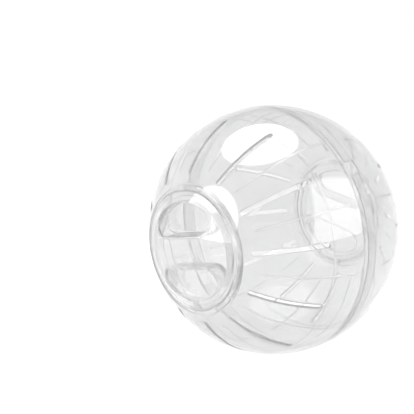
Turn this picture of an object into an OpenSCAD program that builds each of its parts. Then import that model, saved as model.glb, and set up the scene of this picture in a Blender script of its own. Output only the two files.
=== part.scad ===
// Clear exercise ball for a small pet: two moulded half shells that push together at a lap joint,
// each with a round opening at its pole that a twist-lock door with two finger wells closes.
// The door axis lies along Y with the front door at -Y, and the origin is the ball's centre.

/* [Ball] */
// Outer diameter of the closed ball
ball_d = 145; // [135:1:160]
// Wall thickness of the two half shells
wall = 2; // [1.6:0.1:2.4]

/* [Seam] */
// How far the rear half's outer skirt reaches past the ball's middle
skirt_reach = 4.4; // [3.5:0.1:5.5]
// Thickness of the outer skirt at the ball's middle
skirt_t = 1.5; // [1.3:0.1:1.8]
// How far the front half's inner tongue reaches past the ball's middle
tongue_reach = 2.6; // [2:0.1:3.5]
// Thickness of the inner tongue
tongue_t = 1.6; // [1.3:0.1:2]
// Chamfer that leads the tongue's tip into the skirt
tip_chamfer = 0.5; // [0.3:0.1:0.8]
// Radial clearance between tongue and skirt
lap_gap = 0.25; // [0.2:0.05:0.35]
// Axial clearance where each rim meets the other half
rim_gap = 0.2; // [0.1:0.05:0.3]
// Number of locating keys round the seam
key_count = 4; // [2:1:6]
// Width of one locating key, in degrees
key_span = 6; // [4:0.5:9]
// Spare angle on each side of a key in its notch
key_spare = 0.3; // [0.2:0.05:0.5]
// Angle of the first key about the door axis
key_angle = 37; // [30:1:45]

/* [Air slots and ribs] */
// Number of air slots in each half
slot_count = 12; // [8:1:14]
// Width of an air slot
slot_w = 2.4; // [1.8:0.1:3]
// Angle between the door axis and the middle of a slot's end near the door
slot_near = 35.2; // [34:0.2:40]
// Angle between the door axis and the middle of a slot's end near the seam
slot_far = 66; // [60:0.5:72]
// Angle of the first slot about the door axis
slot_angle = 7; // [0:1:29]
// Width of the thin ribs inside the wall, midway between the slots
rib_w = 0.9; // [0.7:0.1:1.4]
// Height of those ribs
rib_h = 0.7; // [0.6:0.05:0.9]
// Angle between the door axis and a rib's end near the door
rib_near = 38; // [35:0.5:45]
// Angle between the door axis and a rib's end near the seam
rib_far = 81; // [70:0.5:82]
// Angle between the door axis and the hoop that ties the ribs together
hoop_angle = 69.2; // [68.6:0.2:75]
// Width of the hoop
hoop_w = 0.9; // [0.7:0.1:1.4]
// Height of the hoop, lower than the ribs
hoop_h = 0.45; // [0.3:0.05:0.5]

/* [Door collar] */
// Diameter of the doors
door_d = 66; // [58:1:68]
// Radial clearance between door and collar
door_gap = 0.3; // [0.2:0.05:0.4]
// Thickness of the collar round the opening
collar_t = 2.3; // [1.8:0.1:3]
// How far the collar stands out of the ball at its outer edge
collar_proud = 1; // [0.5:0.1:1.5]
// Depth of the door's seat below the collar's top
seat_depth = 2.2; // [1.8:0.1:2.8]
// How far the ledge reaches inwards under the door
ledge_w = 1.8; // [1.5:0.1:2.4]
// Thickness of the ledge
ledge_t = 1.6; // [1.2:0.1:2.2]
// Turn that unlocks a door, in degrees
unlock_turn = 30; // [26:1:36]
// Spare angle on each side of a lug in its entry notch
notch_spare = 2; // [1:0.5:3]
// Width of the stops beside the lugs, in degrees
stop_span = 4; // [3:0.5:6]
// Angle between an entry notch and the stop past it
stop_set = 1; // [0.5:0.25:2]

/* [Door] */
// Angle of the grip bar about the door axis
bar_angle = 11; // [-20:1:20]
// Width of the grip bar
bar_w = 18; // [14:0.2:20]
// Depth of the finger wells below the door's crown
well_depth = 11.5; // [10:0.5:13]
// How far inside the neck the finger wells' round sides lie
well_set = 1.2; // [0.8:0.1:1.5]
// Corner radius of the wells
well_corner_r = 6.5; // [4:0.5:7.5]
// Wall thickness of the dome and of the wells' walls and floors
door_wall = 1.6; // [1.2:0.1:2]
// Wall thickness of the neck that passes through the ledge
neck_t = 3; // [2.4:0.1:3.6]
// Radial clearance between neck and ledge
neck_gap = 0.3; // [0.2:0.05:0.4]
// Axial clearance of the door on its seat
seat_gap = 0.1; // [0.05:0.05:0.2]
// Number of bayonet lugs
lug_count = 3; // [2:1:3]
// Width of one lug, in degrees
lug_span = 24; // [18:1:28]
// How far a lug stands out of the neck
lug_reach = 1.6; // [1.3:0.1:1.7]
// Thickness of a lug
lug_t = 1.6; // [1.2:0.1:2.2]
// Axial clearance between a lug and the ledge
lug_gap = 0.15; // [0.1:0.05:0.25]

/* [Hidden] */
$fn = 180;

half_colour = [0.86, 0.89, 0.91, 0.45];
door_colour = [0.76, 0.82, 0.87, 0.6];

// Extra length of a cutting body past the faces that it cuts
overrun = 1;

ball_r = ball_d / 2;
inner_r = ball_r - wall;

// Seam: the tongue of the front half lies inside the skirt of the rear half
skirt_in_r = ball_r - skirt_t;
tongue_out_r = skirt_in_r - lap_gap;
tongue_in_r = tongue_out_r - tongue_t;
shoulder_z = skirt_reach + rim_gap;
taper_z = shoulder_z + wall;
taper_r = sqrt(inner_r * inner_r - taper_z * taper_z);

// Collar and ledge, in heights above the ball's middle
door_r = door_d / 2;
collar_in_r = door_r + door_gap;
collar_out_r = collar_in_r + collar_t;
collar_z = sqrt(ball_r * ball_r - collar_out_r * collar_out_r) + collar_proud;
seat_z = collar_z - seat_depth;
ledge_in_r = collar_in_r - ledge_w;
ledge_z = seat_z - ledge_t;

// Door
neck_r = ledge_in_r - neck_gap;
neck_in_r = neck_r - neck_t;
lug_r = neck_r + lug_reach;
lug_top_z = ledge_z - lug_gap;
lug_foot_z = lug_top_z - lug_t;
well_r = neck_in_r - well_set;
well_floor_z = ball_r - well_depth;
lug_pitch = 360 / lug_count;
first_lug = 90;

// A slice of the meridian plane between two angles from the door axis, with its tip at the centre
module meridian_wedge(near, far) {
  reach = (ball_r + overrun) / cos((far - near) / 2);
  middle = (near + far) / 2;
  polygon([
    [0, 0],
    [reach * sin(near), reach * cos(near)],
    [reach * sin(middle), reach * cos(middle)] / cos((far - near) / 2),
    [reach * sin(far), reach * cos(far)]
  ]);
}

// Plate of even thickness in the meridian plane at one angle about the door axis
module meridian_plate(angle, thickness) {
  rotate([90, 0, angle])
    linear_extrude(height = thickness, center = true)
      children();
}

// Ring sector about the door axis, from one angle over a span
module ring_sector(start, span, inner, outer, low, high) {
  rotate([0, 0, start])
    rotate_extrude(angle = span)
      translate([inner, low])
        square([outer - inner, high - low]);
}

// Half section of the ball's wall above a given height
module wall_section(low) {
  intersection() {
    difference() {
      circle(r = ball_r);
      circle(r = inner_r);
    }
    translate([0, low])
      square([ball_r, ball_r - low]);
  }
}

// Wall of the front half, which steps inwards at its shoulder and runs down as the tongue
module front_section() {
  wall_section(shoulder_z);
  polygon([
    [tongue_in_r, -tongue_reach],
    [tongue_out_r - tip_chamfer, -tongue_reach],
    [tongue_out_r, -tongue_reach + tip_chamfer],
    [tongue_out_r, shoulder_z],
    [taper_r + wall / 2, taper_z],
    [taper_r, taper_z],
    [tongue_in_r, taper_z - (taper_r - tongue_in_r)]
  ]);
}

// Wall of the rear half, whose skirt is cut out from inside for the tongue
module rear_section() {
  difference() {
    wall_section(-skirt_reach);
    translate([0, -skirt_reach - overrun])
      square([skirt_in_r, skirt_reach + overrun + tongue_reach + rim_gap]);
  }
}

// One air slot with round ends, cut straight through the wall
module air_slot(angle) {
  meridian_plate(angle, slot_w)
    meridian_wedge(slot_near, slot_far);
  for (end = [slot_near, slot_far])
    rotate([0, end, angle])
      cylinder(d = slot_w, h = ball_r + overrun);
}

// Section of a rib between two angles from the door axis, rooted in the wall
module rib_section(near, far, height) {
  intersection() {
    difference() {
      circle(r = inner_r + wall / 2);
      circle(r = inner_r - height);
    }
    meridian_wedge(near, far);
  }
}

module ribs(first) {
  for (i = [0 : slot_count - 1])
    meridian_plate(first + i * 360 / slot_count, rib_w)
      rib_section(rib_near, rib_far, rib_h);
}

module hoop() {
  half_width = asin(hoop_w / 2 / inner_r);
  rotate_extrude()
    rib_section(hoop_angle - half_width, hoop_angle + half_width, hoop_h);
}

// Stops under the ledge: one that a locked lug rests beside, one past the entry notch
module lug_stops(lug) {
  spare = lug_span / 2 + notch_spare + stop_set;
  for (start = [lug - spare - stop_span, lug + unlock_turn + spare])
    ring_sector(
      start, stop_span, ledge_in_r - overrun, collar_in_r + collar_t / 2,
      lug_foot_z, seat_z - ledge_t / 2
    );
}

// One half shell without its seam detail: wall, ribs, collar, ledge, slots and entry notches
module half_shell(first_slot, door_turn) {
  first_rib = first_slot + 180 / slot_count;
  difference() {
    union() {
      rotate_extrude()
        children();
      ribs(first_rib);
      hoop();
      translate([0, 0, ledge_z])
        cylinder(r = collar_out_r, h = collar_z - ledge_z);
      for (i = [0 : lug_count - 1])
        lug_stops(door_turn + first_lug + i * lug_pitch);
    }
    for (i = [0 : slot_count - 1])
      air_slot(first_slot + i * 360 / slot_count);
    translate([0, 0, seat_z])
      cylinder(r = collar_in_r, h = ball_r);
    cylinder(r = ledge_in_r, h = ball_r + overrun);
    for (i = [0 : lug_count - 1])
      ring_sector(
        door_turn + first_lug + i * lug_pitch + unlock_turn - lug_span / 2 - notch_spare,
        lug_span + 2 * notch_spare,
        ledge_in_r - overrun, lug_r + neck_gap, ledge_z - overrun, seat_z + overrun
      );
  }
}

// Keys of the front half: they fill the wall's thickness outside the tongue
module seam_keys() {
  intersection() {
    for (i = [0 : key_count - 1])
      ring_sector(
        key_angle + i * 360 / key_count - key_span / 2, key_span,
        tongue_out_r - tongue_t / 2, ball_r + overrun, tip_chamfer - tongue_reach, shoulder_z + rim_gap
      );
    sphere(r = ball_r);
  }
}

// Notches of the rear half that the keys slide into, seen from the rear
module seam_notches() {
  for (i = [0 : key_count - 1])
    ring_sector(
      -key_angle - i * 360 / key_count - key_span / 2 - key_spare, key_span + 2 * key_spare,
      inner_r - overrun, ball_r + overrun, -skirt_reach - overrun, tongue_reach + rim_gap
    );
}

// Outline of one finger well: what the bar leaves of one side of a disc, with two round corners
module well_outline() {
  offset(r = well_corner_r, $fn = 48)
    offset(delta = -well_corner_r)
      intersection() {
        circle(r = well_r, $fn = 96);
        translate([-well_r, bar_w / 2])
          square([2 * well_r, well_r]);
      }
}

// Both wells, or what their walls fill, from one height up
module well_pair(low) {
  for (side = [0, 180])
    rotate([0, 0, side])
      translate([0, 0, low])
        linear_extrude(height = ball_r + overrun - low)
          children();
}

// Hollow of the door inside its neck, under the dome and round the two cups
module door_hollow() {
  difference() {
    intersection() {
      sphere(r = ball_r - door_wall);
      cylinder(r = neck_in_r, h = ball_r);
    }
    well_pair(well_floor_z - door_wall)
      offset(r = door_wall, $fn = 48)
        well_outline();
  }
}

// Twist-lock door: a cap that carries on the ball's curve, a neck, lugs, a bar and two wells
module door(turn) {
  rotate([0, 0, turn])
    difference() {
      union() {
        intersection() {
          sphere(r = ball_r);
          translate([0, 0, seat_z + seat_gap])
            cylinder(r = door_r, h = ball_r);
        }
        translate([0, 0, lug_foot_z])
          cylinder(r = neck_r, h = seat_z + seat_gap + door_wall - lug_foot_z);
        for (i = [0 : lug_count - 1])
          ring_sector(
            first_lug + i * lug_pitch - lug_span / 2, lug_span,
            neck_in_r + neck_t / 2, lug_r, lug_foot_z, lug_top_z
          );
      }
      well_pair(well_floor_z)
        well_outline();
      door_hollow();
    }
}

// The front half and its door face -Y, the rear ones face +Y
module facing_front() {
  rotate([90, 0, 0])
    children();
}

module facing_rear() {
  rotate([-90, 0, 0])
    children();
}

module front_half() {
  color(half_colour)
    facing_front() {
      half_shell(slot_angle, bar_angle)
        front_section();
      seam_keys();
    }
}

module rear_half() {
  color(half_colour)
    facing_rear()
      difference() {
        half_shell(-slot_angle, bar_angle)
          rear_section();
        seam_notches();
      }
}

module front_door() {
  color(door_colour)
    facing_front()
      door(bar_angle);
}

module rear_door() {
  color(door_colour)
    facing_rear()
      door(bar_angle);
}

front_half();
rear_half();
front_door();
rear_door();
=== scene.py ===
"""Looks of a clear exercise ball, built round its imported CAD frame.

Four moulded pieces are made as smooth closed skins, one on each CAD body: two half shells with air
slots, ribs, a lap seam and a door collar, and two twist-lock doors with finger wells. Sections are
in millimetres with the door axis along +Z, and each piece is turned to its side and brought to
metres when its mesh is written.
"""

from __future__ import annotations

import logging
import math
from collections import Counter
from dataclasses import dataclass, field
from enum import Enum
from itertools import product
from typing import Callable, Sequence

import bmesh
import bpy
from mathutils import Matrix, Vector
from mathutils.geometry import delaunay_2d_cdt

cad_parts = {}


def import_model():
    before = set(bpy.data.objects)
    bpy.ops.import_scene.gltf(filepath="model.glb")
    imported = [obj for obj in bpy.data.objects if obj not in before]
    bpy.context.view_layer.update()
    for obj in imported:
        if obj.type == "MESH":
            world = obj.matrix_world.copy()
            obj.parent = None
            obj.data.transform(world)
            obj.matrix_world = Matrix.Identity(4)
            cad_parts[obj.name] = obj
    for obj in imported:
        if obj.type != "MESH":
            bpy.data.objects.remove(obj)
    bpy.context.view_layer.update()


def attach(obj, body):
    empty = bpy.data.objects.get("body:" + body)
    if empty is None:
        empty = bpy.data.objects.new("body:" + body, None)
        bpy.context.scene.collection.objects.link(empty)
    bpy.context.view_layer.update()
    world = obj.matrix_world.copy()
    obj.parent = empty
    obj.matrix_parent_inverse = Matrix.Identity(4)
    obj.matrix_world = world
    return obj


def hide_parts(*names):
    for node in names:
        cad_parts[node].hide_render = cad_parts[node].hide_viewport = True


LOG = logging.getLogger("exercise_ball")
METRES = 0.001
FULL_TURN = 360.0
HALF_TURN = 180.0
MERGE_MM = 0.004
SHARP_ANGLE = math.radians(33)
TINY = 1e-6
ROUNDING = 1e-9
CHART_MERGE = 1e-7
EDGE_CLEARANCE_SHARE = 0.55

Point2 = tuple[float, float]
Chain = list[Point2]


# Small geometry helpers


def rad(degrees: float) -> float:
    """Degrees to radians."""
    return math.radians(degrees)


def steps(start: float, end: float, pitch: float) -> list[float]:
    """Even samples from start to end, both included, no further apart than the pitch."""
    count = max(1, math.ceil(abs(end - start) / pitch - ROUNDING))
    return [start + (end - start) * i / count for i in range(count + 1)]


def rounded(*corners: tuple[float, float, float], segments: int = 4) -> Chain:
    """An open path whose corners are replaced by arcs.

    Args:
        corners: Points with the radius that each corner gets, zero for a plain point.
        segments: Number of straight pieces in each arc.

    Returns:
        The path's points.
    """
    path: Chain = []
    last = len(corners) - 1
    for i, (x, y, radius) in enumerate(corners):
        if radius <= 0 or i in (0, last):
            path.append((x, y))
            continue
        here = Vector((x, y))
        back = (Vector(corners[i - 1][:2]) - here).normalized()
        ahead = (Vector(corners[i + 1][:2]) - here).normalized()
        half = back.angle(ahead) / 2
        reach = radius / math.tan(half)
        centre = here + (back + ahead).normalized() * (radius / math.sin(half))
        first = here + back * reach - centre
        second = here + ahead * reach - centre
        sweep = first.angle(second)
        turn = math.copysign(1.0, first.x * second.y - first.y * second.x)
        for k in range(segments + 1):
            angle = turn * sweep * k / segments
            c, s = math.cos(angle), math.sin(angle)
            path.append((centre.x + first.x * c - first.y * s, centre.y + first.x * s + first.y * c))
    return path


def on_sphere(radius: float, high: float, low: float, pitch: float = 1.1) -> Chain:
    """Section points on a sphere from a high one to a low one, as distance from the axis and height."""
    angles = steps(math.acos(high / radius), math.acos(low / radius), pitch / radius)
    return [(radius * math.sin(a), radius * math.cos(a)) for a in angles]


def chord(radius: float, offset: float) -> float:
    """Half the width of a sphere's section at an offset from its middle."""
    return math.sqrt(radius**2 - offset**2)


def quarter_round(radius: float, pieces: int) -> list[Point2]:
    """Distance from the side and drop from the top of each point of a quarter round, from the top on."""
    turns = (rad(HALF_TURN / 2 * k / pieces) for k in range(pieces + 1))
    return [(radius * (1 - math.sin(a)), radius * (1 - math.cos(a))) for a in turns]


def stretched(polar: float) -> float:
    """Chart height of a polar angle in radians, on a chart that keeps every shape."""
    return math.log(math.tan(polar / 2))


def azimuth(point: Vector) -> float:
    """Angle of a point about the door axis in degrees, from zero up to a full turn."""
    return math.degrees(math.atan2(point.y, point.x)) % FULL_TURN


def around(radius: float, angle: float) -> Point2:
    """Flat place at a distance from the door axis and an angle about it in degrees."""
    return radius * math.cos(rad(angle)), radius * math.sin(rad(angle))


def spun(chain_point: Point2, angle: float) -> Vector:
    """A section point turned to an angle about the door axis."""
    return Vector((*around(chain_point[0], angle), chain_point[1]))


def flat(points: Sequence[Vector]) -> list[Point2]:
    """Places of points seen along the door axis."""
    return [(p.x, p.y) for p in points]


def inside(point: Point2, outline: Sequence[Point2], holes: Sequence[Sequence[Point2]] = ()) -> bool:
    """True if a flat point lies within a closed outline and in none of its holes.

    Args:
        point: The point.
        outline: Corners of the outline.
        holes: Closed outlines that are left out.

    Returns:
        The answer.
    """
    x, y = point
    crossed = False
    for (ax, ay), (bx, by) in zip(outline, [*outline[1:], outline[0]]):
        if (ay > y) != (by > y) and x < ax + (y - ay) * (bx - ax) / (by - ay):
            crossed = not crossed
    return crossed and not any(inside(point, hole) for hole in holes)


def segment_distance(point: Point2, a: Point2, b: Point2) -> float:
    """Distance from a flat point to a straight piece between two others.

    Args:
        point: The point.
        a: First end of the piece.
        b: Other end.

    Returns:
        The shortest distance.
    """
    dx, dy = b[0] - a[0], b[1] - a[1]
    length = dx * dx + dy * dy
    share = 0.0 if length == 0 else ((point[0] - a[0]) * dx + (point[1] - a[1]) * dy) / length
    share = min(1.0, max(0.0, share))
    return math.hypot(point[0] - a[0] - share * dx, point[1] - a[1] - share * dy)


class Facing(Enum):
    """The side of the ball that a piece's door axis points to."""

    FRONT = 90.0
    REAR = -90.0

    def placed(self) -> Matrix:
        """Turn and scale from millimetres along +Z to metres in the shared frame."""
        return Matrix.Scale(METRES, 4) @ Matrix.Rotation(rad(self.value), 4, "X")


@dataclass
class Skin:
    """Points and faces of one skin, in millimetres with the door axis along +Z."""

    points: list[Vector] = field(default_factory=list)
    faces: list[tuple[int, ...]] = field(default_factory=list)

    def ring(self, points: Sequence[Vector]) -> list[int]:
        """Adds points and returns their numbers."""
        self.points.extend(points)
        return list(range(len(self.points) - len(points), len(self.points)))

    def loft(self, rows: Sequence[Sequence[Vector]], closed: bool = True) -> list[list[int]]:
        """Adds rows of equally many points and joins each to the next with quads.

        Args:
            rows: Points of each row.
            closed: True if each row's ends are joined too.

        Returns:
            Numbers of the rows' points.
        """
        numbers = [self.ring(row) for row in rows]
        for a, b in zip(numbers, numbers[1:]):
            for i in range(len(a) if closed else len(a) - 1):
                j = (i + 1) % len(a)
                self.faces.append((a[i], a[j], b[j], b[i]))
        return numbers

    def stitch(self, a: Sequence[int], b: Sequence[int]) -> None:
        """Joins two closed rings about the door axis whose points stand at different angles.

        Args:
            a: Numbers of the first ring.
            b: Numbers of the second ring.
        """
        rings = [sorted(ring, key=lambda i: azimuth(self.points[i])) for ring in (a, b)]
        to_come = sorted(
            (azimuth(self.points[ring[k % len(ring)]]) + (k == len(ring)) * FULL_TURN, side, k)
            for side, ring in enumerate(rings)
            for k in range(1, len(ring) + 1)
        )
        reached = [ring[0] for ring in rings]
        for _, side, k in to_come:
            corner = rings[side][k % len(rings[side])]
            self.faces.append((reached[0], corner, reached[1]))
            reached[side] = corner

    def patch(
        self,
        outline: Sequence[Point2],
        lift: Callable[[Point2], Vector],
        pitch: float,
        holes: Sequence[Sequence[Point2]] = (),
        lines: Sequence[Sequence[Point2]] = (),
    ) -> None:
        """Fills an outline on a chart with even triangles and lifts them to the surface.

        Args:
            outline: Closed outline on the chart.
            lift: Brings a chart point to the surface.
            pitch: Distance between fill points on the chart.
            holes: Closed outlines that stay open.
            lines: Closed lines that edges follow.
        """
        marks: list[Vector] = []
        edges: list[tuple[int, int]] = []
        for closed in (outline, *holes, *lines):
            first = len(marks)
            marks.extend(Vector(p) for p in closed)
            edges.extend((first + i, first + (i + 1) % len(closed)) for i in range(len(closed)))
        walls = [(tuple(marks[a]), tuple(marks[b])) for a, b in edges]
        marks.extend(Vector(p) for p in self._fill(outline, holes, walls, pitch))
        places, _, triangles, *_ = delaunay_2d_cdt(marks, edges, [], 1, CHART_MERGE, False)
        numbers = self.ring([lift((p.x, p.y)) for p in places])
        for tri in triangles:
            middle = tuple(sum((places[i] for i in tri), Vector((0, 0))) / len(tri))
            if inside(middle, outline, holes):
                self.faces.append(tuple(numbers[i] for i in tri))

    @staticmethod
    def _fill(
        outline: Sequence[Point2],
        holes: Sequence[Sequence[Point2]],
        walls: Sequence[tuple[Point2, Point2]],
        pitch: float,
    ) -> list[Point2]:
        """Fill points on a hexagonal grid, clear of every edge.

        Args:
            outline: Closed outline on the chart.
            holes: Closed outlines that stay open.
            walls: Straight pieces to stay clear of.
            pitch: Distance between fill points.

        Returns:
            The fill points.
        """
        xs, ys = [p[0] for p in outline], [p[1] for p in outline]
        clear = pitch * EDGE_CLEARANCE_SHARE
        buckets: dict[tuple[int, int], list[tuple[Point2, Point2]]] = {}
        for a, b in walls:
            cells = (
                range(math.floor((min(pair) - clear) / pitch), math.floor((max(pair) + clear) / pitch) + 1)
                for pair in zip(a, b)
            )
            for cell in product(*cells):
                buckets.setdefault(cell, []).append((a, b))
        found: list[Point2] = []
        row_pitch = pitch * math.sqrt(3) / 2
        for row in range(math.ceil((max(ys) - min(ys)) / row_pitch) + 1):
            y = min(ys) + row * row_pitch
            for column in range(math.ceil((max(xs) - min(xs)) / pitch) + 2):
                point = (min(xs) + (column + 0.5 * (row % 2)) * pitch, y)
                near = buckets.get((math.floor(point[0] / pitch), math.floor(y / pitch)), [])
                if all(segment_distance(point, a, b) >= clear for a, b in near) and inside(point, outline, holes):
                    found.append(point)
        return found

    def written(self, name: str, place: Matrix) -> bpy.types.Object:
        """Writes the skin as a merged mesh object with its normals turned out.

        Args:
            name: The object's name.
            place: Turn and scale into the shared frame.

        Returns:
            The linked object, which sits at the origin.
        """
        mesh = bpy.data.meshes.new(name)
        made = bmesh.new()
        corners = [made.verts.new(p) for p in self.points]
        for face in self.faces:
            try:
                made.faces.new([corners[i] for i in face])
            except ValueError:
                LOG.debug("%s: a face is there twice", name)
        bmesh.ops.remove_doubles(made, verts=made.verts[:], dist=MERGE_MM)
        bmesh.ops.dissolve_degenerate(made, dist=MERGE_MM / 4, edges=made.edges[:])
        loose = [v for v in made.verts if not v.link_faces]
        bmesh.ops.delete(made, geom=loose, context="VERTS")
        bmesh.ops.recalc_face_normals(made, faces=made.faces[:])
        bmesh.ops.transform(made, matrix=place, verts=made.verts[:])
        for edge in made.edges:
            edge.smooth = len(edge.link_faces) == 2 and edge.calc_face_angle(0.0) < SHARP_ANGLE
        for face in made.faces:
            face.smooth = True
        made.to_mesh(mesh)
        made.free()
        piece = bpy.data.objects.new(name, mesh)
        bpy.context.scene.collection.objects.link(piece)
        return piece


@dataclass(frozen=True)
class Span:
    """A stretch of angles about the door axis that has one section."""

    start: float
    end: float
    chain: Chain


@dataclass
class Sweep:
    """A skin swept about the door axis, whose section changes from stretch to stretch."""

    spans: list[Span]
    pitch: float = 1.2
    angles: list[float] = field(default_factory=list)

    def add_to(self, skin: Skin) -> tuple[list[int], list[int]]:
        """Adds the swept faces to a skin, with end faces where the section changes.

        Args:
            skin: The skin that receives them.

        Returns:
            Numbers of the ring at the sections' first point and of the ring at their last.
        """
        first: list[int] = []
        last: list[int] = []
        for k, span in enumerate(self.spans):
            samples = self._samples(span)
            rows = skin.loft([[spun(p, a) for p in span.chain] for a in samples], closed=False)
            first.extend(row[0] for row in rows[:-1])
            last.extend(row[-1] for row in rows[:-1])
            self._end_face(skin, span, self.spans[(k + 1) % len(self.spans)])
        return first, last

    def _samples(self, span: Span) -> list[float]:
        """Angles at which one stretch has points.

        Args:
            span: The stretch.

        Returns:
            The angles in order, with both ends.
        """
        if not self.angles:
            return steps(span.start, span.end, self.pitch)
        every = (a + lap for lap in (0.0, FULL_TURN) for a in self.angles)
        return [span.start, *sorted(a for a in every if span.start + TINY < a < span.end - TINY), span.end]

    @staticmethod
    def _end_face(skin: Skin, here: Span, there: Span) -> None:
        """Closes the step between two sections with one flat face.

        Args:
            skin: The skin that receives the face.
            here: The stretch that ends.
            there: The stretch that begins.
        """
        a, b = here.chain, there.chain
        if a == b:
            return
        head = next(i for i in range(min(len(a), len(b))) if a[i] != b[i]) - 1
        tail = next(i for i in range(1, min(len(a), len(b))) if a[-i] != b[-i]) - 1
        around = a[head : len(a) - tail + 1] + b[head + 1 : len(b) - tail][::-1]
        skin.faces.append(tuple(skin.ring([spun(p, here.end) for p in around])))


def spans_round(marks: Sequence[tuple[float, float, Chain]], rest: Chain) -> list[Span]:
    """Stretches all round the door axis from the ones that differ.

    Args:
        marks: Start, end and section of each stretch that differs from the rest.
        rest: Section everywhere else.

    Returns:
        All stretches in order, over one full turn.
    """
    placed = sorted(((s % FULL_TURN, s % FULL_TURN + e - s, c) for s, e, c in marks), key=lambda m: m[0])
    spans: list[Span] = []
    for i, (start, end, chain) in enumerate(placed):
        following = placed[(i + 1) % len(placed)][0] + (FULL_TURN if i + 1 == len(placed) else 0.0)
        spans.append(Span(start, end, chain))
        if following > end + TINY:
            spans.append(Span(end, following, rest))
    return spans


# Sizes that repeat the CAD source's


@dataclass
class BallSizes:
    """Sizes shared by the half shells and the doors, in millimetres and degrees."""

    ball_d: float = 145.0
    wall: float = 2.0
    skirt_reach: float = 4.4
    skirt_t: float = 1.5
    tongue_reach: float = 2.6
    tongue_t: float = 1.6
    tip_chamfer: float = 0.5
    lap_gap: float = 0.25
    rim_gap: float = 0.2
    key_count: int = 4
    key_span: float = 6.0
    key_spare: float = 0.3
    key_angle: float = 37.0
    slot_count: int = 12
    slot_w: float = 2.4
    slot_near: float = 35.2
    slot_far: float = 66.0
    slot_angle: float = 7.0
    rib_w: float = 0.9
    rib_h: float = 0.7
    rib_near: float = 38.0
    rib_far: float = 81.0
    hoop_angle: float = 69.2
    hoop_w: float = 0.9
    hoop_h: float = 0.45
    door_d: float = 66.0
    door_gap: float = 0.3
    collar_t: float = 2.3
    collar_proud: float = 1.0
    seat_depth: float = 2.2
    ledge_w: float = 1.8
    ledge_t: float = 1.6
    unlock_turn: float = 30.0
    notch_spare: float = 2.0
    stop_span: float = 4.0
    stop_set: float = 1.0
    bar_angle: float = 11.0
    bar_w: float = 18.0
    well_depth: float = 11.5
    well_set: float = 1.2
    well_corner_r: float = 6.5
    door_wall: float = 1.6
    neck_t: float = 3.0
    neck_gap: float = 0.3
    seat_gap: float = 0.1
    lug_count: int = 3
    lug_span: float = 24.0
    lug_reach: float = 1.6
    lug_t: float = 1.6
    lug_gap: float = 0.15
    first_lug: float = 90.0

    def __post_init__(self) -> None:
        """Works out the radii and heights that follow from the named sizes."""
        # Wall, skirt and tongue
        self.ball_r: float = self.ball_d / 2
        self.inner_r: float = self.ball_r - self.wall
        self.skirt_in_r: float = self.ball_r - self.skirt_t
        self.tongue_out_r: float = self.skirt_in_r - self.lap_gap
        self.tongue_in_r: float = self.tongue_out_r - self.tongue_t
        self.shoulder_z: float = self.skirt_reach + self.rim_gap
        self.taper_z: float = self.shoulder_z + self.wall
        # Collar and ledge
        self.door_r: float = self.door_d / 2
        self.collar_in_r: float = self.door_r + self.door_gap
        self.collar_out_r: float = self.collar_in_r + self.collar_t
        self.collar_z: float = chord(self.ball_r, self.collar_out_r) + self.collar_proud
        self.seat_z: float = self.collar_z - self.seat_depth
        self.ledge_in_r: float = self.collar_in_r - self.ledge_w
        self.ledge_z: float = self.seat_z - self.ledge_t
        # Neck, finger wells and lugs
        self.neck_r: float = self.ledge_in_r - self.neck_gap
        self.neck_in_r: float = self.neck_r - self.neck_t
        self.well_r: float = self.neck_in_r - self.well_set
        self.well_floor_z: float = self.ball_r - self.well_depth
        self.cup_foot_z: float = self.well_floor_z - self.door_wall
        self.lug_r: float = self.neck_r + self.lug_reach
        self.lug_top_z: float = self.ledge_z - self.lug_gap
        self.lug_foot_z: float = self.lug_top_z - self.lug_t
        pitch = FULL_TURN / self.lug_count
        self.lug_angles: list[float] = [self.bar_angle + self.first_lug + i * pitch for i in range(self.lug_count)]


@dataclass(frozen=True)
class Fillets:
    """Radii of the small rounded corners in the sections, in millimetres."""

    fine: float = 0.15
    ledge: float = 0.2
    soft: float = 0.25
    edge: float = 0.3
    rim: float = 0.35
    lead: float = 0.4
    taper: float = 0.8


# Node trees


class Value:
    """An output in a node tree, with the operators that add Math nodes to it."""

    def __init__(self, graph: Graph, socket: bpy.types.NodeSocket | None) -> None:
        """Wraps an output of a graph's node."""
        self.graph = graph
        self.socket = socket

    def beside(self) -> list[Value]:
        """All outputs of the node that this one belongs to."""
        return [Value(self.graph, socket) for socket in self.socket.node.outputs]

    def _math(self, operation: str, *values: Value | float) -> Value:
        """Adds one Math node on the given values."""
        return self.graph.node("ShaderNodeMath", dict(enumerate(values)), {"operation": operation})

    def __add__(self, other: Value | float) -> Value:
        """Sum."""
        return self._math("ADD", self, other)

    def __radd__(self, other: float) -> Value:
        """Sum with a number first."""
        return self._math("ADD", other, self)

    def __sub__(self, other: Value | float) -> Value:
        """Difference."""
        return self._math("SUBTRACT", self, other)

    def __rsub__(self, other: float) -> Value:
        """Difference with a number first."""
        return self._math("SUBTRACT", other, self)

    def __mul__(self, other: Value | float) -> Value:
        """Product."""
        return self._math("MULTIPLY", self, other)

    def __rmul__(self, other: float) -> Value:
        """Product with a number first."""
        return self._math("MULTIPLY", other, self)

    def __truediv__(self, other: Value | float) -> Value:
        """Quotient."""
        return self._math("DIVIDE", self, other)

    def __rtruediv__(self, other: float) -> Value:
        """Quotient with a number first."""
        return self._math("DIVIDE", other, self)

    def __abs__(self) -> Value:
        """Size without its sign."""
        return self._math("ABSOLUTE", self)

    def larger(self, other: Value | float) -> Value:
        """The larger of two values."""
        return self._math("MAXIMUM", self, other)

    def eased(self, low: float, high: float) -> Value:
        """Smooth step from 0 at low to 1 at high, or down where low is the larger."""
        values = {"Value": self, "From Min": low, "From Max": high}
        return self.graph.node("ShaderNodeMapRange", values, {"interpolation_type": "SMOOTHSTEP"})


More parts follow.
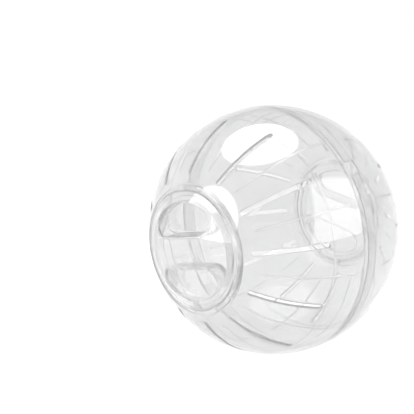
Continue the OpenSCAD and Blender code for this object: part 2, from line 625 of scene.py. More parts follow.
class Graph:
    """A node tree whose nodes are added by calls that return their outputs."""

    def __init__(self, tree: bpy.types.NodeTree) -> None:
        """Takes over a tree and clears it."""
        self.tree = tree
        tree.nodes.clear()

    def node(
        self,
        kind: str,
        values: dict[str | int, object] | None = None,
        settings: dict[str, object] | None = None,
        output: str | int = 0,
    ) -> Value:
        """Adds one node.

        Args:
            kind: The node's type.
            values: Values or links of its sockets, by name or number.
            settings: Properties, set before the sockets.
            output: The output that is returned.

        Returns:
            The wrapped output.
        """
        made = self.tree.nodes.new(kind)
        for name, value in (settings or {}).items():
            setattr(made, name, value)
        for name, value in (values or {}).items():
            if isinstance(value, Value):
                self.tree.links.new(value.socket, made.inputs[name])
            else:
                made.inputs[name].default_value = value
        return Value(self, made.outputs[output] if len(made.outputs) else None)

    def mix(self, factor: Value | float, first: object, second: object, blend: str = "MIX") -> Value:
        """Mixes two colours or vectors, of which the second has the factor's share."""
        values = {"Factor": factor, 6: first, 7: second}
        return self.node("ShaderNodeMix", values, {"data_type": "RGBA", "blend_type": blend}, output=2)

    def noise(self, place: Value, scale: float, output: str | int = 0, **more: float) -> Value:
        """Adds a noise texture at a place, with more of its values by name."""
        return self.node("ShaderNodeTexNoise", {"Vector": place, "Scale": scale, **more}, output=output)


# What repeats about the door axis


@dataclass
class RadialArray:
    """A node tree that repeats a sector about the door axis and welds it into one wall."""

    count: int
    weld: float

    def applied(self, sector: bpy.types.Object, finish: bpy.types.Material) -> bpy.types.Mesh:
        """Runs the tree on a sector.

        Args:
            sector: Object whose mesh is one sector, with the door axis along +Z.
            finish: Material that the result gets.

        Returns:
            The whole wall as a plain mesh.
        """
        tree, sockets = self._tree()
        modifier = sector.modifiers.new("radial_array", "NODES")
        modifier.node_group = tree
        for name, value in (("Count", self.count), ("Weld", self.weld), ("Finish", finish)):
            modifier[sockets[name]] = value
        return evaluated_mesh(sector, modifier)

    @staticmethod
    def _tree() -> tuple[bpy.types.NodeTree, dict[str, str]]:
        """Builds the Geometry Nodes tree.

        Returns:
            The tree and the identifiers of its named sockets.
        """
        tree = bpy.data.node_groups.new("radial_array", "GeometryNodeTree")
        sockets = {
            name: tree.interface.new_socket(name, in_out=side, socket_type="NodeSocket" + kind).identifier
            for name, side, kind in (
                ("Sector", "INPUT", "Geometry"),
                ("Count", "INPUT", "Int"),
                ("Weld", "INPUT", "Float"),
                ("Finish", "INPUT", "Material"),
                ("Wall", "OUTPUT", "Geometry"),
            )
        }
        graph = Graph(tree)
        sector, count, weld, finish = graph.node("NodeGroupInput").beside()[:4]
        angle = graph.node("GeometryNodeInputIndex") * (math.tau / count)
        turn = graph.node("FunctionNodeEulerToRotation", {0: graph.node("ShaderNodeCombineXYZ", {"Z": angle})})
        points = graph.node("GeometryNodePoints", {"Count": count})
        copied = {"Points": points, "Instance": sector, "Rotation": turn}
        real = graph.node("GeometryNodeRealizeInstances", {0: graph.node("GeometryNodeInstanceOnPoints", copied)})
        wall = graph.node("GeometryNodeMergeByDistance", {"Geometry": real, "Distance": weld})
        dressed = graph.node("GeometryNodeSetMaterial", {"Geometry": wall, "Material": finish})
        graph.node("NodeGroupOutput", {0: dressed})
        return tree, sockets


def evaluated_mesh(piece: bpy.types.Object, modifier: bpy.types.Modifier) -> bpy.types.Mesh:
    """A plain mesh of an object with its modifier's result, and the modifier taken off.

    Args:
        piece: The object.
        modifier: Its only modifier.

    Returns:
        The new mesh.
    """
    bpy.context.view_layer.update()
    evaluated = piece.evaluated_get(bpy.context.evaluated_depsgraph_get())
    mesh = bpy.data.meshes.new_from_object(evaluated)
    piece.modifiers.remove(modifier)
    return mesh


# Finishes


def blank_material(name: str) -> tuple[bpy.types.Material, Graph, Value]:
    """A new material, its empty graph and its Object coordinates.

    Args:
        name: The material's name.

    Returns:
        The material, the graph and the coordinates.
    """
    material = bpy.data.materials.new(name)
    material.use_nodes = True
    graph = Graph(material.node_tree)
    return material, graph, graph.node("ShaderNodeTexCoord", output="Object")


@dataclass(frozen=True)
class ClearPlastic:
    """Clear moulded polystyrene with flow waves, fine scuffs and a faint grey body.

    Scales are per metre, and pairs are the lower and upper end of a smooth step. The clear share of
    the light passes on, and the rest is scattered.
    """

    name: str
    tint: tuple[float, float, float]
    scuff: float
    wave: float
    clear: float
    haze: float = 0.012
    haze_gain: float = 0.6
    clouded: float = 0.985
    cloud_scale: float = 38.0
    cloud_tone: Point2 = (0.35, 0.7)
    cloud_haze: Point2 = (0.45, 0.75)
    flow_scale: float = 70.0
    bend_scale: float = 25.0
    bend: float = 0.02
    scuff_scale: float = 95.0
    scuff_line: Point2 = (0.012, 0.002)
    scuff_depth: float = 2e-6
    worn_scale: float = 60.0
    worn: Point2 = (0.55, 0.7)
    depth_colour: tuple[float, float, float, float] = (0.82, 0.825, 0.828, 1.0)
    depth_per_m: float = 30.0
    ior: float = 1.59

    def made(self) -> bpy.types.Material:
        """Builds the material.

        Returns:
            The finished material.
        """
        material, graph, place = blank_material(self.name)
        cloud = graph.noise(place, self.cloud_scale, Detail=3.0)
        flow = graph.noise(place, self.flow_scale, Detail=1.0, Roughness=0.3)
        scratch = self._scratches(graph, place)
        dull = (*[c * self.clouded for c in self.tint], 1.0)
        tone = graph.mix(cloud.eased(*self.cloud_tone), (*self.tint, 1.0), dull)
        rough = self.haze + cloud.eased(*self.cloud_haze) * (self.haze * self.haze_gain) + scratch * self.scuff
        height = flow * self.wave + scratch * -self.scuff_depth
        bump = graph.node("ShaderNodeBump", {"Strength": 1.0, "Distance": 1.0, "Height": height})
        looks = {
            "Base Color": tone,
            "Roughness": rough,
            "IOR": self.ior,
            "Transmission Weight": self.clear,
            "Normal": bump,
        }
        surface = graph.node("ShaderNodeBsdfPrincipled", looks)
        depth = graph.node("ShaderNodeVolumeAbsorption", {"Color": self.depth_colour, "Density": self.depth_per_m})
        graph.node("ShaderNodeOutputMaterial", {"Surface": surface, "Volume": depth})
        return material

    def _scratches(self, graph: Graph, place: Value) -> Value:
        """Sparse fine scuff lines, 1 on a line and 0 elsewhere.

        Args:
            graph: The material's graph.
            place: Object coordinates.

        Returns:
            The mask.
        """
        sway = graph.noise(place, self.bend_scale, output="Color")
        bent = graph.mix(self.bend, place, sway, "LINEAR_LIGHT")
        where = {"Vector": bent, "Scale": self.scuff_scale}
        cells = graph.node("ShaderNodeTexVoronoi", where, {"feature": "DISTANCE_TO_EDGE"}, output="Distance")
        patchy = graph.noise(place, self.worn_scale)
        return cells.eased(*self.scuff_line) * patchy.eased(*self.worn)


@dataclass(frozen=True)
class PaleFloor:
    """Matt white table top with a trace of grain."""

    name: str = "pale_floor"
    tone: float = 0.62
    grain_scale: float = 30.0
    grain_tone: float = 0.99
    roughness: float = 0.9

    def made(self) -> bpy.types.Material:
        """Builds the material.

        Returns:
            The finished material.
        """
        material, graph, place = blank_material(self.name)
        grain = graph.noise(place, self.grain_scale, Detail=4.0)
        plain, grained = ((tone,) * 3 + (1.0,) for tone in (self.tone, self.tone * self.grain_tone))
        looks = {"Base Color": graph.mix(grain, plain, grained), "Roughness": self.roughness}
        graph.node("ShaderNodeOutputMaterial", {"Surface": graph.node("ShaderNodeBsdfPrincipled", looks)})
        return material


# The pieces


def edge_uses(mesh: bpy.types.Mesh) -> Counter[tuple[int, int]]:
    """How many faces share each edge of a mesh."""
    return Counter(key for face in mesh.polygons for key in face.edge_keys)


@dataclass
class Moulding:
    """A clear moulded piece that stands for one CAD node and rides on its body."""

    sizes: BallSizes
    facing: Facing
    cad_node: str
    body: str
    material_slot: str = ""
    fillets: Fillets = Fillets()

    def joined(self, skin: Skin, finish: bpy.types.Material, turn: float = 0.0) -> bpy.types.Object:
        """Writes a skin, weights its normals by face size, dresses it and joins it to the frame.

        Args:
            skin: The piece's skin.
            finish: Its material.
            turn: Angle that the skin still has to turn about the door axis.

        Returns:
            The finished object.
        """
        place = self.facing.placed() @ Matrix.Rotation(rad(turn), 4, "Z")
        piece = skin.written(f"{self.cad_node}_skin", place)
        modifier = piece.modifiers.new("weighted", "WEIGHTED_NORMAL")
        modifier.keep_sharp = True
        mesh = evaluated_mesh(piece, modifier)
        piece.data = mesh
        mesh.materials.clear()
        mesh.materials.append(finish)
        piece.visible_shadow = False
        open_edges = sum(1 for count in edge_uses(mesh).values() if count != 2)
        triangles = sum(len(p.vertices) - 2 for p in mesh.polygons)
        LOG.info("%s: %d triangles, %d open edges", piece.name, triangles, open_edges)
        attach(piece, self.body)
        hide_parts(self.cad_node)
        return piece


class Seat(Enum):
    """What lies under the door's rim at one angle."""

    LEDGE = "plain ledge"
    NOTCH = "entry notch in the ledge"
    STOP = "ledge with a stop under it"


@dataclass
class HalfShell(Moulding):
    """One half of the ball: wall with air slots, ribs and hoop, lap seam, door collar and ledge."""

    material_slot: str = "clear_shell"
    chart_pitch: float = 0.0235
    outline_pitch: float = 1.3
    turn_step: float = 1.0
    end_pieces: int = 10
    lip_pieces: int = 4
    lip_r: float = 0.35
    border_z: float = 8.0
    border_out: float = 0.9
    seam_lap: float = 0.6
    collar_lap: float = 0.3
    rim_lead: float = 0.5
    ledge_lead: float = 0.4
    sector_start: float = -7.0
    # A ridge's section: distance past its half width, and share of its height there
    ridge: tuple[Point2, ...] = (
        (0.24, 0.0), (0.12, 0.05), (0.04, 0.2), (0.0, 0.5), (-0.06, 0.8), (-0.14, 0.94), (-0.24, 1.0)
    )

    @property
    def first_slot(self) -> float:
        """Angle of a slot's middle in this half's own turn."""
        return self.sizes.slot_angle if self.facing is Facing.FRONT else -self.sizes.slot_angle

    @property
    def first_rib(self) -> float:
        """Angle of a rib's middle, halfway between two slots."""
        return self.first_slot + FULL_TURN / self.sizes.slot_count / 2

    def make(self, finish: bpy.types.Material) -> bpy.types.Object:
        """Builds the piece and joins it to the frame.

        Args:
            finish: The clear plastic.

        Returns:
            The finished object.
        """
        skin = Skin()
        wall = self._wall(finish)
        skin.ring([v.co.copy() for v in wall.vertices])
        skin.faces.extend(tuple(p.vertices) for p in wall.polygons)
        borders = self._borders(wall)
        sweeps = {"seam": Sweep(self._seam_spans()), "collar": Sweep(self._collar_spans())}
        rings = {part: sweep.add_to(skin) for part, sweep in sweeps.items()}
        for part, (outer, inner) in rings.items():
            skin.stitch(borders[part + "_out"], outer)
            skin.stitch(borders[part + "_in"], inner)
        return self.joined(skin, finish)

    @staticmethod
    def _charted(points: Sequence[Vector]) -> list[Point2]:
        """Chart places of directions: angle about the axis, and stretched polar angle."""
        polars = [math.acos(max(-1.0, min(1.0, p.normalized().z))) for p in points]
        return [(math.atan2(p.y, p.x), stretched(polar)) for p, polar in zip(points, polars)]

    @staticmethod
    def _direction(place: Point2) -> Vector:
        """Direction that a chart place stands for."""
        polar = 2 * math.atan(math.exp(place[1]))
        return Vector((math.sin(polar) * math.cos(place[0]), math.sin(polar) * math.sin(place[0]), math.cos(polar)))

    def _stadium(self, middle: float, near: float, far: float, offset: float, radius: float) -> list[Vector]:
        """Outline with round ends along a meridian, on a sphere.

        Args:
            middle: Angle of the meridian about the door axis.
            near: Polar angle of the first end's centre.
            far: Polar angle of the other end's centre.
            offset: Half the outline's width.
            radius: The sphere's radius.

        Returns:
            The closed outline's points.
        """
        reach = chord(radius, offset)
        run = steps(near, far, math.degrees(self.outline_pitch / self.sizes.ball_r))
        turns = [rad(HALF_TURN * k / self.end_pieces) for k in range(1, self.end_pieces)]
        places: list[tuple[float, float, float]] = []
        for side, sides, end in ((1, run, far), (-1, run[::-1], near)):
            places += [(polar, side * offset, 0.0) for polar in sides]
            places += [(end, side * offset * math.cos(a), side * offset * math.sin(a)) for a in turns]
        spin = Matrix.Rotation(rad(middle), 3, "Z")
        return [spin @ self._beside(reach, *place) for place in places]

    @staticmethod
    def _beside(reach: float, polar: float, across: float, along: float) -> Vector:
        """Point beside a place on the meridian, moved across the meridian and along it."""
        s, c = math.sin(rad(polar)), math.cos(rad(polar))
        return Vector((reach * s + along * c, across, reach * c - along * s))

    def _ridge_height(self, distance: float, half_width: float, height: float) -> float:
        """Height of a rounded ridge at a distance from its middle line.

        Args:
            distance: The distance.
            half_width: Half the ridge's width.
            height: The ridge's full height.

        Returns:
            The height there.
        """
        if distance >= half_width + self.ridge[0][0]:
            return 0.0
        for (a, low), (b, high) in zip(self.ridge, self.ridge[1:]):
            if distance >= half_width + b:
                share = (half_width + a - distance) / (a - b)
                return height * (low + (high - low) * share)
        return height

    def _ridge_lines(self, width: float) -> list[float]:
        """Distances from a ridge's middle line at which its mesh has lines."""
        return [width / 2 + past for past, _ in self.ridge]

    def _inner_height(self, direction: Vector) -> float:
        """Height of ribs and hoop over the wall's inside.

        Args:
            direction: Unit vector from the centre, in the sector that holds the first rib.

        Returns:
            The height above the plain wall.
        """
        s = self.sizes
        point = direction * s.inner_r
        rib = rad(self.first_rib)
        along = point.x * math.cos(rib) + point.y * math.sin(rib)
        across = point.y * math.cos(rib) - point.x * math.sin(rib)
        polar = math.degrees(math.atan2(along, point.z))
        if polar > s.rib_far or polar < s.rib_near:
            end = rad(s.rib_far if polar > s.rib_far else s.rib_near)
            past = math.hypot(along - s.inner_r * math.sin(end), point.z - s.inner_r * math.cos(end))
            across = math.hypot(across, past)
        level = math.degrees(math.acos(max(-1.0, min(1.0, direction.z))))
        to_hoop = abs(rad(level - s.hoop_angle)) * s.inner_r
        rib_height = self._ridge_height(abs(across), s.rib_w / 2, s.rib_h)
        return max(rib_height, self._ridge_height(to_hoop, s.hoop_w / 2, s.hoop_h))

    def _wall(self, finish: bpy.types.Material) -> bpy.types.Mesh:
        """The slotted wall all round, from one sector repeated by the node tree.

        Args:
            finish: The clear plastic.

        Returns:
            The wall's mesh in millimetres, open towards the seam and the collar.
        """
        s = self.sizes
        start = self.first_slot + self.sector_start
        end = start + FULL_TURN / s.slot_count
        rings = self._slot_rings()
        offsets = [math.degrees(d / s.inner_r) for d in self._ridge_lines(s.hoop_w)]
        hoops = sorted(s.hoop_angle + sign * offset for offset in offsets for sign in (-1, 1))
        lines = [
            self._charted(self._stadium(self.first_rib, s.rib_near, s.rib_far, d, s.inner_r))
            for d in self._ridge_lines(s.rib_w)
        ]
        run = steps(rad(start), rad(end), rad(self.turn_step))
        for height in (stretched(rad(polar)) for polar in hoops):
            lines.append([(a, height) for a in run] + [(a, height) for a in reversed(run[1:-1])])
        sector = Skin()
        sector.patch(
            self._sector_outline(start, end, s.ball_r, ()),
            lambda p: self._direction(p) * s.ball_r,
            self.chart_pitch,
            holes=[self._charted(rings[0])],
        )
        sector.patch(
            self._sector_outline(start, end, s.inner_r, hoops),
            lambda p: self._direction(p) * (s.inner_r - self._inner_height(self._direction(p))),
            self.chart_pitch,
            holes=[self._charted(rings[-1])],
            lines=lines,
        )
        sector.loft(rings)
        plain = sector.written(f"{self.cad_node}_sector", Matrix.Identity(4))
        mesh = RadialArray(s.slot_count, MERGE_MM).applied(plain, finish)
        bpy.data.objects.remove(plain)
        return mesh

    def _sector_outline(self, start: float, end: float, radius: float, extra: Sequence[float]) -> list[Point2]:
        """Chart outline of one sector of the wall, from the collar's part to the seam's.

        Args:
            start: Angle of the first side.
            end: Angle of the other side.
            radius: Radius of the wall's face.
            extra: Polar angles that the sides must have points at.

        Returns:
            The closed outline.
        """
        near = math.degrees(math.asin((self.sizes.collar_out_r + self.border_out) / radius))
        far = math.degrees(math.acos(self.border_z / radius))
        low, *marks, high = (stretched(rad(a)) for a in (near, *extra, far))
        side: list[float] = [low]
        for a, b in zip([low, *marks], [*marks, high]):
            side.extend(steps(a, b, self.chart_pitch)[1:])
        across = [rad(a) for a in steps(start, end, self.turn_step)]
        return (
            [(across[0], v) for v in side[:-1]]
            + [(a, high) for a in across[:-1]]
            + [(across[-1], v) for v in reversed(side[1:])]
            + [(a, low) for a in reversed(across[1:])]
        )

    def _slot_rings(self) -> list[list[Vector]]:
        """Rings of an air slot's edge, from the outside of the wall to the inside.

        Returns:
            The rings.
        """
        s, lip = self.sizes, quarter_round(self.lip_r, self.lip_pieces)
        edge = [(aside, s.ball_r - drop) for aside, drop in lip]
        edge += [(aside, s.inner_r + drop) for aside, drop in reversed(lip)]
        return [
            self._stadium(self.first_slot, s.slot_near, s.slot_far, s.slot_w / 2 + aside, radius)
            for aside, radius in edge
        ]

    def _borders(self, wall: bpy.types.Mesh) -> dict[str, list[int]]:
        """Numbers of the wall's open rings, by the part that each one meets.

        Args:
            wall: The repeated wall.

        Returns:
            Point numbers of the four rings.
        """
        rim = {i for key, count in edge_uses(wall).items() if count == 1 for i in key}
        found: dict[str, list[int]] = {"seam_out": [], "seam_in": [], "collar_out": [], "collar_in": []}
        halfway = self.sizes.ball_r - self.sizes.wall / 2
        for i in rim:
            point = wall.vertices[i].co
            part = "seam" if point.z < self.sizes.ball_r / 2 else "collar"
            found[part + ("_out" if point.length > halfway else "_in")].append(i)
        return found

    def _seam_spans(self) -> list[Span]:
        """Sections of the lap seam all round, with the keys or notches.

        Returns:
            The stretches in order.
        """
        s = self.sizes
        pitch = FULL_TURN / s.key_count
        if self.facing is Facing.FRONT:
            half, centre, chains = s.key_span / 2, s.key_angle, self._tongue_chains()
        else:
            half, centre, chains = s.key_span / 2 + s.key_spare, -s.key_angle, self._skirt_chains()
        plain, special = chains
        marks = [(centre + i * pitch - half, centre + i * pitch + half, special) for i in range(s.key_count)]
        return spans_round(marks, plain)

    def _tongue_chains(self) -> tuple[Chain, Chain]:
        """Sections of the front half's seam.

        Returns:
            The plain tongue, and the tongue with a key.
        """
        s, r, top = self.sizes, self.fillets, self.border_z - self.seam_lap
        keep = s.shoulder_z + self.seam_lap
        foot = s.tip_chamfer - s.tongue_reach
        lead = foot + self.rim_lead
        head = on_sphere(s.ball_r, top, keep)
        step = rounded(
            (chord(s.ball_r, keep), keep, 0),
            (chord(s.ball_r, s.shoulder_z), s.shoulder_z, r.edge),
            (s.tongue_out_r, s.shoulder_z, r.fine),
            (s.tongue_out_r, foot, 0),
        )
        key = on_sphere(s.ball_r, keep, lead)[:-1] + rounded(
            (chord(s.ball_r, lead), lead, 0), (chord(s.ball_r, foot), foot, r.edge), (s.tongue_out_r, foot, 0)
        )
        taper_r = chord(s.inner_r, s.taper_z)
        tail = rounded(
            (s.tongue_out_r, foot, 0),
            (s.tongue_out_r - s.tip_chamfer, -s.tongue_reach, r.fine),
            (s.tongue_in_r, -s.tongue_reach, r.soft),
            (s.tongue_in_r, s.taper_z - (taper_r - s.tongue_in_r), r.taper),
            (taper_r, s.taper_z, 0),
        )[1:] + on_sphere(s.inner_r, top, s.taper_z)[::-1][1:]
        return head + step[1:] + tail, head + key[1:] + tail

    def _skirt_chains(self) -> tuple[Chain, Chain]:
        """Sections of the rear half's seam.

        Returns:
            The skirt, and the notch that a key slides into.
        """
        s, r, top = self.sizes, self.fillets, self.border_z - self.seam_lap
        roof, rim = s.tongue_reach + s.rim_gap, -s.skirt_reach
        lead = rim + self.rim_lead
        head = on_sphere(s.ball_r, top, roof)
        skirt = on_sphere(s.ball_r, roof, lead)[:-1] + rounded(
            (chord(s.ball_r, lead), lead, 0),
            (chord(s.ball_r, rim), rim, r.edge),
            (s.skirt_in_r, rim, r.edge),
            (s.skirt_in_r, roof, 0),
        )
        tail = on_sphere(s.inner_r, top, roof)[::-1]
        return head + skirt[1:] + tail, [*head, (s.skirt_in_r, roof), *tail]

    def _collar_spans(self) -> list[Span]:
        """Sections of the collar and ledge all round, with entry notches and stops.

        Returns:
            The stretches in order.
        """
        s = self.sizes
        half = s.lug_span / 2 + s.notch_spare
        spare = half + s.stop_set
        marks: list[tuple[float, float, Chain]] = []
        for lug in s.lug_angles:
            marks.append((lug + s.unlock_turn - half, lug + s.unlock_turn + half, self._collar_chain(Seat.NOTCH)))
            for start in (lug - spare - s.stop_span, lug + s.unlock_turn + spare):
                marks.append((start, start + s.stop_span, self._collar_chain(Seat.STOP)))
        return spans_round(marks, self._collar_chain(Seat.LEDGE))

    def _collar_chain(self, seat: Seat) -> Chain:
        """Section of the collar and what carries the door.

        Args:
            seat: What lies under the door's rim.

        Returns:
            The section from the outside of the wall over the collar to the inside.
        """
        s, r = self.sizes, self.fillets
        start = s.collar_out_r + self.border_out - self.collar_lap
        notch_r, root_r = s.lug_r + s.neck_gap, s.collar_in_r + s.collar_t / 2
        head = rounded(
            (start, chord(s.ball_r, start), 0),
            (s.collar_out_r, chord(s.ball_r, s.collar_out_r), r.soft),
            (s.collar_out_r, s.collar_z, r.lead),
            (s.collar_in_r, s.collar_z, r.edge),
            (s.collar_in_r, s.seat_z, 0),
        )
        lip = rounded(
            (notch_r, s.seat_z, 0),
            (s.ledge_in_r, s.seat_z, r.ledge),
            (s.ledge_in_r, s.ledge_z + self.ledge_lead, 0),
        )
        under = {
            Seat.LEDGE: [(s.ledge_in_r, s.ledge_z), (notch_r, s.ledge_z)],
            Seat.NOTCH: [(notch_r, s.ledge_z)],
            Seat.STOP: [(s.ledge_in_r, s.lug_foot_z), (root_r, s.lug_foot_z)],
        }[seat]
        tail = rounded(
            (s.collar_out_r, s.ledge_z, 0),
            (s.collar_out_r, chord(s.inner_r, s.collar_out_r), r.fine),
            (start, chord(s.inner_r, start), 0),
        )
        return [*head, *(lip[:1] if seat is Seat.NOTCH else lip), *under, (root_r, s.ledge_z), *tail]


@dataclass
class TwistDoor(Moulding):
    """A twist-lock door: dome, two finger wells with a grip bar between them, neck and lugs."""

    material_slot: str = "clear_door"
    dome_pitch: float = 1.25
    plate_pitch: float = 2.5
    turn_step: int = 2
    rim_inset: float = 0.8
    foot_chamfer: float = 0.3
    lip_r: float = 0.6
    floor_r: float = 0.9
    round_pieces: int = 5
    draft: float = 0.25
    wall_shares: tuple[float, ...] = (0.06, 0.3, 0.6, 0.94)
    bar_pitch: float = 1.4
    corner_step: float = 7.0
    side_step: float = 2.5
    cup_clearance: float = 0.3

    def make(self, finish: bpy.types.Material) -> bpy.types.Object:
        """Builds the piece and joins it to the frame.

        Args:
            finish: The clear plastic.

        Returns:
            The finished object.
        """
        skin = Skin()
        angles = self._angles()
        rims, _ = Sweep(self._rim_spans(), angles=angles).add_to(skin)
        outline = flat([skin.points[i] for i in rims])
        wells = [self._well_rings(turn) for turn in (1, -1)]
        for rings in wells:
            skin.loft(rings)
            skin.patch(flat(rings[-1]), lambda p, z=rings[-1][0].z: Vector((*p, z)), self.plate_pitch)
        holes = [flat(rings[0]) for rings in wells]
        skin.patch(outline, lambda p: self._lifted(p, self.sizes.ball_r), self.dome_pitch, holes)
        self._underside(skin, angles)
        return self.joined(skin, finish, self.sizes.bar_angle)

    @staticmethod
    def _lifted(place: Point2, radius: float) -> Vector:
        """Point of a sphere above a flat place."""
        return Vector((*place, math.sqrt(radius**2 - place[0] ** 2 - place[1] ** 2)))

    def _hollow_corner(self) -> float:
        """Angle about the door axis at which a cup's outside meets the neck's inside.

        Returns:
            The angle on the +X side of the +Y well, in degrees.
        """
        s = self.sizes
        centre = self._corner_centre()
        radius = s.well_corner_r + s.door_wall
        share = (s.neck_in_r**2 + centre.length_squared - radius**2) / (2 * s.neck_in_r * centre.length)
        return math.degrees(math.atan2(centre.y, centre.x) - math.acos(share))

    def _corner_centre(self) -> Vector:
        """Centre of the +X corner of the +Y well."""
        y = self.sizes.bar_w / 2 + self.sizes.well_corner_r
        return Vector((chord(self.sizes.well_r - self.sizes.well_corner_r, y), y))

    def _lug_spans(self) -> list[tuple[float, float]]:
        """Start and end angles of the lugs, with the bar along X."""
        s = self.sizes
        return [(a - s.bar_angle - s.lug_span / 2, a - s.bar_angle + s.lug_span / 2) for a in s.lug_angles]

    def _angles(self) -> list[float]:
        """Angles about the door axis at which the door's round parts have points.

        Returns:
            The angles in order.
        """
        corner = self._hollow_corner()
        found = {float(a) for a in range(0, int(FULL_TURN), self.turn_step)}
        found |= {a % FULL_TURN for span in self._lug_spans() for a in span}
        found |= {corner, HALF_TURN - corner, HALF_TURN + corner, FULL_TURN - corner}
        return sorted(found)

    def _rim_spans(self) -> list[Span]:
        """Sections of the door's rim, neck and foot all round, with the lugs.

        Returns:
            The stretches in order.
        """
        s, r = self.sizes, self.fillets
        start, seat = s.door_r - self.rim_inset, s.seat_z + s.seat_gap
        foot = (s.neck_r - self.foot_chamfer, s.lug_foot_z, 0)
        head = rounded(
            (start, chord(s.ball_r, start), 0),
            (s.door_r, chord(s.ball_r, s.door_r), r.rim),
            (s.door_r, seat, r.soft),
            (s.neck_r, seat, r.ledge),
            (s.neck_r, s.lug_top_z, 0),
        )
        tail = rounded(foot, (s.neck_in_r, s.lug_foot_z, r.soft), (s.neck_in_r, s.cup_foot_z, 0))
        lug = rounded(
            (s.neck_r, s.lug_top_z, 0), (s.lug_r, s.lug_top_z, r.soft), (s.lug_r, s.lug_foot_z, r.lead), foot
        )[1:-1]
        marks = [(a, b, head + lug + tail) for a, b in self._lug_spans()]
        return spans_round(marks, [*head, (s.neck_r, s.lug_foot_z + self.foot_chamfer), *tail])

    def _well_outline(self, turn: int) -> list[tuple[Vector, Vector]]:
        """Outline of a finger well as flat points with the directions away from the well.

        Args:
            turn: 1 for the well on the +Y side, -1 for the other.

        Returns:
            Points and outward directions, counter-clockwise.
        """
        s, corner = self.sizes, self.sizes.well_corner_r
        centre = self._corner_centre()
        lean = math.degrees(math.atan2(centre.y, centre.x))
        found: list[tuple[Vector, Vector]] = []
        for x in steps(-centre.x, centre.x, self.bar_pitch)[1:-1]:
            found.append((Vector((x, s.bar_w / 2)), Vector((0, -1))))
        for mx, first, last, radius, my, gap in (
            (centre.x, -HALF_TURN / 2, lean, corner, centre.y, self.corner_step),
            (0.0, lean, HALF_TURN - lean, s.well_r, 0.0, self.side_step),
            (-centre.x, HALF_TURN - lean, HALF_TURN * 1.5, corner, centre.y, self.corner_step),
        ):
            run = steps(first, last, gap)
            for angle in run if radius == corner else run[1:-1]:
                away = Vector(around(1.0, angle))
                found.append((Vector((mx, my)) + away * radius, away))
        return [(p * turn, n * turn) for p, n in found]

    def _well_rings(self, turn: int) -> list[list[Vector]]:
        """Rings of one finger well, from the dome down its wall to the floor.

        Args:
            turn: 1 for the well on the +Y side, -1 for the other.

        Returns:
            The rings.
        """
        s = self.sizes
        outline = self._well_outline(turn)
        rows: list[list[Vector]] = []
        for aside, drop in quarter_round(self.lip_r, self.round_pieces):
            ring = [self._lifted(tuple(p + n * aside), s.ball_r) for p, n in outline]
            rows.append([v - Vector((0, 0, drop)) for v in ring])
        top, foot = rows[-1], s.well_floor_z + self.floor_r
        for share in self.wall_shares:
            row = [(p - n * self.draft * share, v.z + (foot - v.z) * share) for (p, n), v in zip(outline, top)]
            rows.append([Vector((*p, z)) for p, z in row])
        for rise, inset in quarter_round(self.floor_r, self.round_pieces):
            z = s.well_floor_z + rise
            rows.append([Vector((*(p - n * (self.draft + inset)), z)) for p, n in outline])
        return rows

    def _cup_path(self) -> list[Point2]:
        """Outside of the +Y well's cup, from where it leaves the neck on +X, past the bar, to -X.

        Returns:
            Flat points.
        """
        s = self.sizes
        end = Vector(around(s.neck_in_r, self._hollow_corner()))
        cup = [p + n * s.door_wall for p, n in self._well_outline(1)]
        top = max(range(len(cup)), key=lambda i: cup[i].y)
        beyond = end.y - self.cup_clearance
        path = [tuple(p) for p in reversed(cup[top:] + cup[:top]) if p.length < s.neck_in_r and p.y < beyond]
        return [tuple(end), *path, (-end.x, end.y)]

    def _underside(self, skin: Skin, angles: Sequence[float]) -> None:
        """Adds the plates under the wells and the hollow round their cups.

        Args:
            skin: The door's skin.
            angles: Angles at which the neck's inside has points.
        """
        s = self.sizes
        low, roof = s.cup_foot_z, s.ball_r - s.door_wall
        corner = self._hollow_corner()
        behind = [a for a in angles if corner - TINY <= a <= HALF_TURN - corner + TINY]
        beside = [a for a in angles if a <= corner + TINY or a >= FULL_TURN - corner - TINY]
        beside = sorted(a if a < HALF_TURN else a - FULL_TURN for a in beside)
        ceiling: list[Point2] = []
        for turn in (1, -1):
            side = [(turn * x, turn * y) for x, y in self._cup_path()]
            bow, end = ([around(turn * s.neck_in_r, a) for a in arc] for arc in (behind, beside))
            skin.patch(bow + side[::-1][1:-1], lambda p: Vector((*p, low)), self.plate_pitch)
            for path in (side, end):
                rows = [
                    [Vector((*p, low + (self._lifted(p, roof).z - low) * share)) for p in path]
                    for share in (0.0, 0.5, 1.0)
                ]
                skin.loft(rows, closed=False)
            ceiling += end + side[1:-1]
        skin.patch(ceiling, lambda p: self._lifted(p, roof), self.dome_pitch)


# Floor, light and camera


@dataclass(frozen=True)
class SoftBox:
    """A soft light panel far away, seen in one direction.

    The panel's width and height are tangents of half its angles. A round one is an ellipse. Its roll
    about the line of sight is in degrees.
    """

    towards: tuple[float, float, float]
    width: float
    height: float
    strength: float
    round: bool = True
    roll: float = 0.0
    soft: float = 0.1
    overhead: float = 0.9
    least_depth: float = 0.02
    side_on: Point2 = (0.03, 0.1)

    def mask(self, axes: Sequence[Value]) -> Value:
        """Brightness of the panel in the world's directions.

        Args:
            axes: The direction's parts along X, Y and Z.

        Returns:
            The panel's strength where it shows, and zero elsewhere.
        """
        ahead = Vector(self.towards).normalized()
        up = Vector((0, 0, 1)) if abs(ahead.z) < self.overhead else Vector((0, 1, 0))
        level = ahead.cross(up).normalized()
        level.rotate(Matrix.Rotation(rad(self.roll), 3, -ahead))
        depth, across, along = (
            axes[0] * v.x + axes[1] * v.y + axes[2] * v.z for v in (ahead, level, level.cross(ahead))
        )
        safe = depth.larger(self.least_depth)
        aside, aloft = abs(across / safe) / self.width, abs(along / safe) / self.height
        reach = aside * aside + aloft * aloft if self.round else aside.larger(aloft)
        return reach.eased(1 + self.soft, 1 - self.soft) * depth.eased(*self.side_on) * self.strength


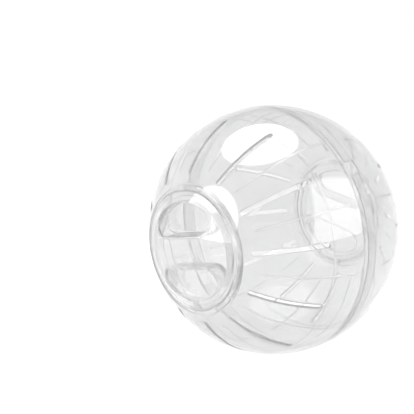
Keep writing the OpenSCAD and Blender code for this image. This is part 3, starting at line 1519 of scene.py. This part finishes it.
@dataclass
class Studio:
    """Pale floor, soft light from panels and a bright horizon, and the camera."""

    ball: BallSizes
    azimuth: float = 42.3
    elevation: float = 14.2
    distance_radii: float = 6.84
    focal_px: float = 841.0
    image_px: float = 414.0
    ball_px: Point2 = (64.9, 22.0)
    nearest: float = 0.01
    floor_radius: float = 6.0
    floor_sides: int = 96
    pale: float = 1.02
    dim: float = 0.72
    dim_from: float = 0.22
    dim_to: float = 0.42
    panels: tuple[SoftBox, ...] = (
        SoftBox((-0.21, 0.02, 0.98), 0.47, 0.47, 4.6),
        SoftBox((0.93, 0.28, 0.24), 0.45, 0.62, 2.1, round=False, roll=22.0),
        SoftBox((-0.295, -0.929, 0.237), 0.53, 0.53, 3.4),
    )

    def make(self) -> None:
        """Builds the floor, the world and the camera."""
        self._floor()
        self._world()
        self._camera()
        bpy.context.scene.view_settings.view_transform = "Standard"

    def _floor(self) -> None:
        """Adds the round floor that the ball stands on."""
        mesh = bpy.data.meshes.new("floor")
        made = bmesh.new()
        bmesh.ops.create_circle(made, cap_ends=True, radius=self.floor_radius, segments=self.floor_sides)
        bmesh.ops.translate(made, vec=(0, 0, -self.ball.ball_r * METRES), verts=made.verts[:])
        made.to_mesh(mesh)
        made.free()
        mesh.materials.append(PaleFloor().made())
        floor = bpy.data.objects.new("floor", mesh)
        bpy.context.scene.collection.objects.link(floor)

    def _world(self) -> None:
        """Builds the light all round: bright at the horizon, dimmer above, with soft panels."""
        world = bpy.data.worlds.new("studio")
        world.use_nodes = True
        bpy.context.scene.world = world
        graph = Graph(world.node_tree)
        way = graph.node("ShaderNodeTexCoord", output="Generated")
        axes = graph.node("ShaderNodeSeparateXYZ", {0: way}).beside()
        above = axes[2].eased(self.dim_from, self.dim_to)
        light = self.pale - above * (self.pale - self.dim)
        for panel in self.panels:
            light = light + panel.mask(axes)
        back = graph.node("ShaderNodeBackground", {"Color": (1.0, 1.0, 1.0, 1.0), "Strength": light})
        graph.node("ShaderNodeOutputWorld", {"Surface": back})

    def _camera(self) -> None:
        """Places the camera as the photograph shows the ball, aimed beside the ball's middle."""
        a, e = rad(self.azimuth), rad(self.elevation)
        back = Vector((math.sin(a) * math.cos(e), -math.cos(a) * math.cos(e), math.sin(e)))
        data = bpy.data.cameras.new("camera")
        data.lens = self.focal_px / self.image_px * data.sensor_width
        data.clip_start = self.nearest
        camera = bpy.data.objects.new("camera", data)
        seen = Vector((self.ball_px[0] / self.focal_px, -self.ball_px[1] / self.focal_px, -1.0))
        aim = seen.rotation_difference(Vector((0, 0, -1)))
        camera.rotation_mode = "QUATERNION"
        camera.rotation_quaternion = (-back).to_track_quat("-Z", "Y") @ aim
        camera.location = back * (self.distance_radii * self.ball.ball_r * METRES)
        bpy.context.scene.collection.objects.link(camera)
        bpy.context.scene.camera = camera


def corners(bounds: tuple[Vector, Vector]) -> list[list[float]]:
    """A box's two corners as plain lists."""
    return [list(corner) for corner in bounds]


def main() -> None:
    """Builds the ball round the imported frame, then the studio."""
    logging.basicConfig(level=logging.INFO, format="%(name)s: %(message)s")
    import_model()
    sizes = BallSizes()
    shell = ClearPlastic("clear_shell_plastic", (0.732, 0.734, 0.735), scuff=0.10, wave=6e-6, clear=0.88).made()
    # The door's copy of the clear plastic has a lighter tint than the shell's. The difference is painted light, to
    # brighten the door where its many surfaces darken it.
    door = ClearPlastic("clear_door_plastic_lightened", (0.785, 0.787, 0.788), scuff=0.12, wave=7e-6, clear=0.92).made()
    HalfShell(sizes, Facing.FRONT, "front_half", "front_shell").make(shell)
    HalfShell(sizes, Facing.REAR, "rear_half", "rear_shell").make(shell)
    TwistDoor(sizes, Facing.FRONT, "front_door", "front_cap").make(door)
    TwistDoor(sizes, Facing.REAR, "rear_door", "rear_cap").make(door)
    Studio(sizes).make()


if __name__ == "__main__":
    main()
